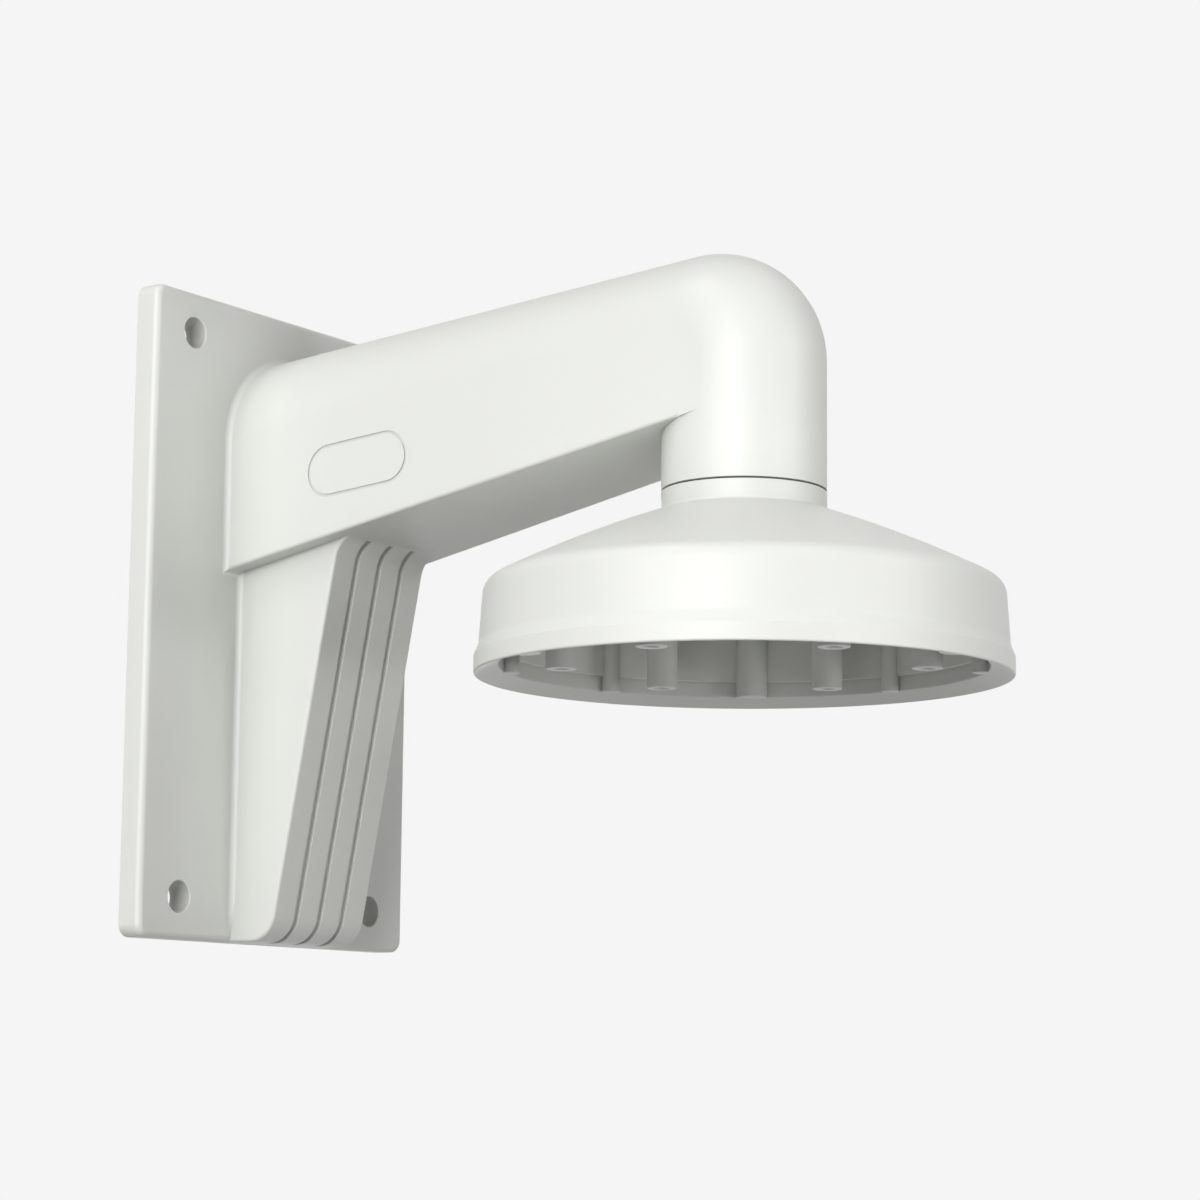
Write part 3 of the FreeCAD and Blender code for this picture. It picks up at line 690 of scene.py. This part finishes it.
def makePlate(settings):
    wide, high, thick = settings["plateWidth"], settings["plateHeight"], settings["plateThickness"]
    plate = block(0, thick, wide, high)
    plate.name = plate.data.name = "bracketCasting"
    bevelEdges(plate, isAlongX, *settings["plateCorner"])
    bevelEdges(plate, bothEnds(lambda place: place.x > thick - near), *settings["plateEdge"])
    bevelEdges(plate, bothEnds(lambda place: place.x < near), *settings["plateBackEdge"])
    closeUp(plate)

    # recess in the back, that goes round the bosses and ribs and so leaves them level with the plate's back
    rim, deep, behind = settings["rimWidth"], settings["recessDepth"], 2
    recess = block(0, deep, wide - 2 * rim, high - 2 * rim)
    bevelEdges(recess, isAlongX, *settings["recessCorner"])
    pickVertices(recess, lambda place: place.x < near)
    moveBy(-behind, 0, 0)
    editDone()
    bevelEdges(recess, bothEnds(lambda place: place.x > deep - near), *settings["recessEdge"])
    closeUp(recess)
    for y, z in holePlaces(settings):
        boss = pegAlongX(settings["bossRadius"], -behind - 1, deep + 1, y, z)
        cutOrJoin(recess, boss, "DIFFERENCE")
    for level in (-settings["ribLevel"], settings["ribLevel"]):
        rib = block(-deep - behind, deep + behind, wide, settings["ribWidth"], level)
        cutOrJoin(recess, rib, "DIFFERENCE")
    cutOrJoin(plate, recess, "DIFFERENCE")
    print("plate", faults(plate))
    return plate


def gussetCorner(settings, outset):
    lean, rise = math.radians(settings["gussetSlope"]), math.atan(settings["floorSlope"])
    front = settings["gussetReach"] * math.cos(lean) + outset
    floor = settings["rootFloor"] * math.cos(rise) - settings["plateThickness"] * math.sin(rise) - outset
    spread = math.cos(lean + rise)
    return ((front * math.cos(rise) + floor * math.sin(lean)) / spread,
            (floor * math.cos(lean) + front * math.sin(rise)) / spread)


def gussetFront(settings, outset, level):
    lean = math.radians(settings["gussetSlope"])
    return settings["gussetReach"] + (outset + level * math.sin(lean)) / math.cos(lean)


def makeGusset(settings):
    foot, rise = -settings["plateHeight"] / 2, settings["floorSlope"]
    x, z = gussetCorner(settings, 0)
    lift = 0.05  # keeps the upper end just inside the arm's floor
    onward, sunk = 9, 2.5  # how far the top runs on under the arm, and how deep it sits in the floor
    outline = roundedOutline([
        (0, foot),
        (gussetFront(settings, 0, foot), foot, settings["gussetFootRound"]),
        (x, z + lift, settings["gussetTopRound"]),
        (x + onward, z + lift + onward * rise),
        (x + onward, z + onward * rise + sunk),
        (0, z + sunk),
    ], settings["gussetRoundSteps"])
    gusset = slab("gusset", outline, settings["gussetHalf"])

    def isSideEdge(a, b):
        farthest = max(a.x, b.x)
        return (abs(a.y - b.y) < near and min(a.x, b.x) > -near and 1 < farthest < x + onward - 0.1
                and max(a.z, b.z) < z + sunk - 0.1 + rise * (farthest - x))

    bevelEdges(gusset, isSideEdge, *settings["gussetEdge"])
    closeUp(gusset)
    print("gusset", faults(gusset))
    return gusset


def makeGussetCore(settings):
    wall, rise, behind = settings["gussetWall"], settings["floorSlope"], 2
    foot = wall - settings["plateHeight"] / 2
    corner = gussetCorner(settings, -wall)[0]
    top = settings["rootFloor"] + rise * (corner - settings["plateThickness"]) - 0.3
    x = corner - 0.1
    outline = roundedOutline([
        (-behind, foot),
        (gussetFront(settings, -wall, foot), foot, settings["gussetFootRound"] - wall),
        (x, top, settings["gussetHollowRound"]),
        (-behind, top - rise * (x + behind)),
    ], settings["gussetHollowSteps"])
    core = slab("gussetCore", outline, settings["gussetHalf"] - wall)
    bevelEdges(core, lambda a, b: abs(a.y - b.y) < near and max(a.x, b.x) > 0,
               *settings["gussetHollowEdge"])
    closeUp(core)
    print("gusset core", faults(core))
    return core


def makeFlute(settings, middle):
    foot, rise, deep = -settings["plateHeight"] / 2, settings["floorSlope"], settings["fluteDepth"]
    top, low = settings["gussetTopRound"], settings["gussetFootRound"]
    corner = Vector(gussetCorner(settings, 0))
    inner = gussetCorner(settings, -deep)
    ahead = Vector((1, rise)).normalized()
    inwards = Vector((-rise, 1)).normalized()
    beyond = corner + ahead * 8
    start = gussetFront(settings, 0, foot) - low
    outline = roundedOutline([
        (start, foot - 1),
        (gussetFront(settings, 1, foot - 1), foot - 1, low + 1),
        (*gussetCorner(settings, 1), top - 1),
        beyond - inwards,
        beyond + inwards * deep,
        (*inner, top + deep),
        (gussetFront(settings, -deep, foot + deep), foot + deep, low - deep),
        (start, foot + deep),
    ], settings["gussetRoundSteps"])
    flute = slab("flute", outline, settings["fluteWidth"] / 2, middle)

    # its end under the arm runs out at 45 degrees
    end = corner + ahead * settings["fluteRun"]
    out = ahead + inwards
    editAll(flute)
    bpy.ops.mesh.bisect(plane_co=inMetres((end.x, middle, end.y)), plane_no=(out.x, 0, out.y),
                        use_fill=True, clear_outer=True)
    editDone()
    closeUp(flute)
    return flute


def ovalDisc(length, height, depth, steps=96):
    deselectAll()
    bpy.ops.mesh.primitive_cylinder_add(vertices=steps, radius=height / 2 * millimetre,
                                        depth=depth * millimetre, rotation=(math.pi / 2, 0, 0))
    disc = settle(bpy.context.object)
    editAll(disc)
    bpy.ops.mesh.bisect(plane_co=(0, 0, 0), plane_no=(1, 0, 0))
    editDone()
    for side in (-1, 1):
        pickVertices(disc, lambda place: place.x * side > weldReach)
        moveBy(side * (length - height) / 2, 0, 0)
        editDone()
    return disc


def makeBadgeRing(settings):
    x, z, length, height = settings["badge"]
    line, depth = settings["badgeLine"], settings["badgeDepth"]
    ring = ovalDisc(length + line, height + line, 2 * depth)
    cutOrJoin(ring, ovalDisc(length - line, height - line, 4 * depth), "DIFFERENCE")
    thick, rootHalf = settings["plateThickness"], settings["rootHalf"]
    run = settings["bend"][0] - thick - settings["crownLean"]
    taper = math.atan((rootHalf - settings["tubeRadius"]) / run)
    side = rootHalf - math.tan(taper) * (x - thick)
    ring.rotation_euler = (0, -math.radians(settings["badgeTilt"]), taper)
    ring.location = inMetres((x, -side, z))
    return settle(ring)


def splitQuads(piece):
    editAll(piece)
    bpy.ops.mesh.quads_convert_to_tris(quad_method="BEAUTY", ngon_method="BEAUTY")
    editDone()


def roundEdges(piece, name, test, width, steps):
    normals = {}
    for polygon in piece.data.polygons:
        for key in polygon.edge_keys:
            normals.setdefault(key, []).append(polygon.normal.copy())
    places = startPicking(piece, "EDGE")
    count = 0
    for edge in piece.data.edges:
        sides = normals.get(tuple(sorted(edge.vertices)), [])
        if len(sides) == 2 and sides[0].angle(sides[1], 0) > sharpAngle:
            edge.select = test(*(places[index] for index in edge.vertices))
            count += edge.select
    bpy.ops.object.mode_set(mode="EDIT")
    bevelPicked(width, steps)
    closeUp(piece)
    print(name, count, faults(piece))


def makeCasting(settings):
    thick, rise = settings["plateThickness"], settings["floorSlope"]
    casting = makePlate(settings)

    # lines through the screw holes, so that each hole is cut at the corners of large faces
    holeY, holeZ = settings["holes"]
    editAll(casting)
    for normal, distance in (((0, 1, 0), holeY), ((0, 0, 1), holeZ)):
        for side in (distance, -distance):
            bpy.ops.mesh.select_all(action="SELECT")
            bpy.ops.mesh.bisect(plane_co=inMetres(side * value for value in normal), plane_no=normal)
    editDone()
    print("plate ruled", faults(casting))
    for y, z in holePlaces(settings):
        hole = pegAlongX(settings["holeRadius"], -2, thick + 2, y, z)
        cutOrJoin(casting, hole, "DIFFERENCE")

    def onHoleRim(place):
        across = math.hypot(abs(place.y) - holeY, abs(place.z) - holeZ)
        return abs(place.x - thick) < near and abs(across - settings["holeRadius"]) < 2 * near

    roundEdges(casting, "hole rims", bothEnds(onHoleRim), *settings["holeRim"])
    cutOrJoin(casting, makeArm("arm", settings, 0, 0, 0.0, settings["tubeEnd"]), "UNION")
    closeUp(casting)
    cutOrJoin(casting, makeGusset(settings), "UNION")
    closeUp(casting)

    rootAside, rootAbove = 28, 80  # between these, inside the holes, only arm and gusset meet the plate

    def onRoot(place):
        return abs(place.x - thick) < near and abs(place.y) < rootAside and place.z < rootAbove

    roundEdges(casting, "root edges", bothEnds(onRoot), *settings["rootFillet"])

    # hollows, flutes, oval line and the locking screw's hole
    core = makeArm("armCore", settings, settings["tubeWall"], settings["floorThickness"], -1.0,
                   settings["boreEnd"])
    for piece in (casting, core):
        splitQuads(piece)
    cutOrJoin(casting, core, "DIFFERENCE")
    print("arm hollow", faults(casting))
    cutOrJoin(casting, makeGussetCore(settings), "DIFFERENCE")
    print("gusset hollow", faults(casting))
    for middle in settings["flutePlaces"]:
        cutOrJoin(casting, makeFlute(settings, middle), "DIFFERENCE")
    cutOrJoin(casting, makeBadgeRing(settings), "DIFFERENCE")
    tubeX = settings["bend"][0] + settings["crownReach"]
    screwHole = pegAlongX(settings["screwHole"], tubeX - 25, tubeX - 15, 0, settings["screwLevel"], 32)
    cutOrJoin(casting, screwHole, "DIFFERENCE")
    closeUp(casting)
    print("cut", faults(casting))

    # the triangles on flat ground go, then the remaining corners are rounded
    pickVertices(casting, lambda place: place.x > thick + settings["rootFillet"][0] - near)
    bpy.ops.mesh.dissolve_limited(angle_limit=flatAngle)
    editDone()
    closeUp(casting)
    print("flat faces joined", faults(casting))

    bendStart, gussetStart = 157, 12  # the floor edges end before the bend, the lips start past the fillet

    def onFloorLine(place):
        return (abs(place.z - settings["rootFloor"] - rise * (place.x - thick)) < 2 * near
                and abs(place.y) > settings["tubeRadius"] - 2 * near and thick < place.x < bendStart)

    roundEdges(casting, "floor edges", bothEnds(onFloorLine), *settings["armEdge"])
    half = settings["fluteWidth"] / 2

    def onFluteLip(place):
        return place.x > gussetStart and any(
            abs(abs(place.y - middle) - half) < near for middle in settings["flutePlaces"])

    roundEdges(casting, "flute lips", lambda a, b: onFluteLip(a) and onFluteLip(b)
               and abs(a.y - b.y) < near, *settings["fluteLip"])
    roundEdges(casting, "tube rims", bothEnds(lambda place: abs(place.z - settings["tubeEnd"]) < near),
               *settings["tubeRim"])
    return casting


# Fine grain, and painted shade in corners and hollows, shared by the coated pieces, the rubber and the
# steel
grainAndShadeSettings = {
    "fineDetail": 2.0,
    "fineRoughness": 0.55,
    "broadDetail": 3.0,
    "bumpHeight": 0.0001,  # metres
    "paintedShadeReach": 0.018,  # metres within which other surfaces darken a spot with painted shade
    "paintedShadeSamples": 16,
}


def grainAndShadeGroup(settings):
    group = bpy.data.node_groups.new("grainAndPaintedShade", "ShaderNodeTree")
    for name, low, high, value in (("Fine Scale", 1, 9000, 900), ("Broad Scale", 1, 900, 90),
                                   ("Relief", 0, 1, 0.2), ("Tone Change", 0, 1, 0.02),
                                   ("Painted Shade Depth", 0, 1, 0.0)):
        socket = group.interface.new_socket(name, in_out="INPUT", socket_type="NodeSocketFloat")
        socket.min_value, socket.max_value, socket.default_value = low, high, value
    # the tone put out is the grain's tone darkened by painted shade in corners and hollows
    for name, kind in (("Tone", "Float"), ("Gloss Change", "Float"), ("Normal", "Vector")):
        group.interface.new_socket(name, in_out="OUTPUT", socket_type="NodeSocket" + kind)
    nodes, links = group.nodes, group.links
    given = nodes.new("NodeGroupInput")
    result = nodes.new("NodeGroupOutput")
    place = nodes.new("ShaderNodeTexCoord")
    fine = nodes.new("ShaderNodeTexNoise")
    fine.inputs["Roughness"].default_value = settings["fineRoughness"]
    broad = nodes.new("ShaderNodeTexNoise")
    for noise, scale, detail in ((fine, "Fine Scale", "fineDetail"), (broad, "Broad Scale", "broadDetail")):
        noise.inputs["Detail"].default_value = settings[detail]
        links.new(place.outputs["Object"], noise.inputs["Vector"])
        links.new(given.outputs[scale], noise.inputs["Scale"])
    bump = nodes.new("ShaderNodeBump")
    bump.inputs["Distance"].default_value = settings["bumpHeight"]
    links.new(given.outputs["Relief"], bump.inputs["Strength"])
    links.new(fine.outputs["Fac"], bump.inputs["Height"])
    links.new(bump.outputs["Normal"], result.inputs["Normal"])
    blend = mathNode(nodes, links, "ADD", fine.outputs["Fac"], broad.outputs["Fac"])
    centred = mathNode(nodes, links, "SUBTRACT", blend, 1.0)
    links.new(centred, result.inputs["Gloss Change"])
    tone = mathNode(nodes, links, "MULTIPLY_ADD", centred, given.outputs["Tone Change"], 1.0)
    # painted shade: the ambient occlusion node darkens the tone where other surfaces are near, in corners
    # and hollows
    recess = nodes.new("ShaderNodeAmbientOcclusion")
    recess.samples = settings["paintedShadeSamples"]
    recess.inputs["Distance"].default_value = settings["paintedShadeReach"]
    occludedShare = mathNode(nodes, links, "SUBTRACT", 1.0, recess.outputs["AO"])
    paintedShadeAmount = mathNode(nodes, links, "MULTIPLY", occludedShare, given.outputs["Painted Shade Depth"])
    unshadedShare = mathNode(nodes, links, "SUBTRACT", 1.0, paintedShadeAmount)
    links.new(mathNode(nodes, links, "MULTIPLY", tone, unshadedShare), result.inputs["Tone"])
    return group


grainAndPaintedShade = grainAndShadeGroup(grainAndShadeSettings)


def grainyMaterial(name, settings):
    material = newMaterial(name)
    nodes, links = material.node_tree.nodes, material.node_tree.links
    output = nodes.new("ShaderNodeOutputMaterial")
    surface = nodes.new("ShaderNodeBsdfPrincipled")
    surface.inputs["Metallic"].default_value = settings["metallic"]
    grain = nodes.new("ShaderNodeGroup")
    grain.node_tree = grainAndPaintedShade
    # the last input sets how strongly painted shade darkens corners and hollows
    for socket, key in (("Fine Scale", "fineScale"), ("Broad Scale", "broadScale"), ("Relief", "relief"),
                        ("Tone Change", "toneChange"), ("Painted Shade Depth", "recessDepth")):
        grain.inputs[socket].default_value = settings[key]
    tint = nodes.new("ShaderNodeVectorMath")
    tint.operation = "SCALE"
    tint.inputs[0].default_value = settings["colour"]
    links.new(grain.outputs["Tone"], tint.inputs["Scale"])
    links.new(tint.outputs["Vector"], surface.inputs["Base Color"])
    gloss = mathNode(nodes, links, "MULTIPLY_ADD", grain.outputs["Gloss Change"], settings["roughChange"],
                     settings["roughness"])
    links.new(gloss, surface.inputs["Roughness"])
    links.new(grain.outputs["Normal"], surface.inputs["Normal"])
    links.new(surface.outputs["BSDF"], output.inputs["Surface"])
    return material


def smoothAndFit(piece):
    pickOnly(piece)
    bpy.ops.object.shade_smooth_by_angle(angle=smoothAngle, keep_sharp_edges=False)
    modifier = piece.modifiers.new("evenNormals", "WEIGHTED_NORMAL")
    modifier.keep_sharp = True
    modifier.weight = 50
    bpy.ops.object.modifier_apply(modifier=modifier.name)


# Satin powder coat, off white with a trace of green
coatSettings = {
    "colour": (0.792, 0.802, 0.766),
    "metallic": 0.0,
    "roughness": 0.42,
    "roughChange": 0.10,
    "fineScale": 1400.0,
    "broadScale": 60.0,
    "relief": 0.12,
    "toneChange": 0.012,
    "recessDepth": 0.38,  # painted shade: the colour is darkened in corners and hollows where other surfaces are near
}
coated = grainyMaterial("whitePowderCoat", coatSettings)

cap = makeCap(capSettings)
smoothAndFit(cap)
cap.data.materials.append(coated)
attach(cap, "root")
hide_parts("dome_cap")

bracket = makeCasting(castingSettings)
smoothAndFit(bracket)
bracket.data.materials.append(coated)
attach(bracket, "root")
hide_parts("bracket_casting")

# Rubber ring in the seam, matte and nearly black
rubberSettings = {
    "colour": (0.12, 0.12, 0.115),
    "metallic": 0.0,
    "roughness": 0.75,
    "roughChange": 0.15,
    "fineScale": 2600.0,
    "broadScale": 300.0,
    "relief": 0.25,
    "toneChange": 0.15,
    # painted shade: the colour is darkened in corners and hollows
    "recessDepth": 0.2,
}
rubber = grainyMaterial("blackRubber", rubberSettings)
sealSettings = {
    "inner": 17.0,
    "outer": 21.1,
    "foot": 24.4,
    "top": 24.8,
    "edge": 0.12,
    "edgeSteps": 3,
}


def makeSeal(settings):
    inner, outer, edge = settings["inner"], settings["outer"], settings["edge"]
    foot, top = settings["foot"], settings["top"]
    corners = [(inner, foot), (outer, foot, edge), (outer, top, edge), (inner, top)]
    outline = roundedOutline(corners, settings["edgeSteps"])
    return turnedPiece("neckSealRing", outline, capSettings["axis"], capSettings["turnSteps"])


seal = makeSeal(sealSettings)
smoothAndFit(seal)
seal.data.materials.append(rubber)
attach(seal, "root")
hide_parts("neck_seal")
print("seal", faults(seal))

# Grub screw, plain steel
steelSettings = {
    "colour": (0.42, 0.42, 0.41),
    "metallic": 1.0,
    "roughness": 0.38,
    "roughChange": 0.2,
    "fineScale": 3200.0,
    "broadScale": 500.0,
    "relief": 0.15,
    "toneChange": 0.12,
    # painted shade: the colour is darkened in corners and hollows
    "recessDepth": 0.3,
}
steel = grainyMaterial("screwSteel", steelSettings)
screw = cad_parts["locking_screw"]
screw.data.materials.clear()
screw.data.materials.append(steel)

scene.view_settings.view_transform = "Standard"
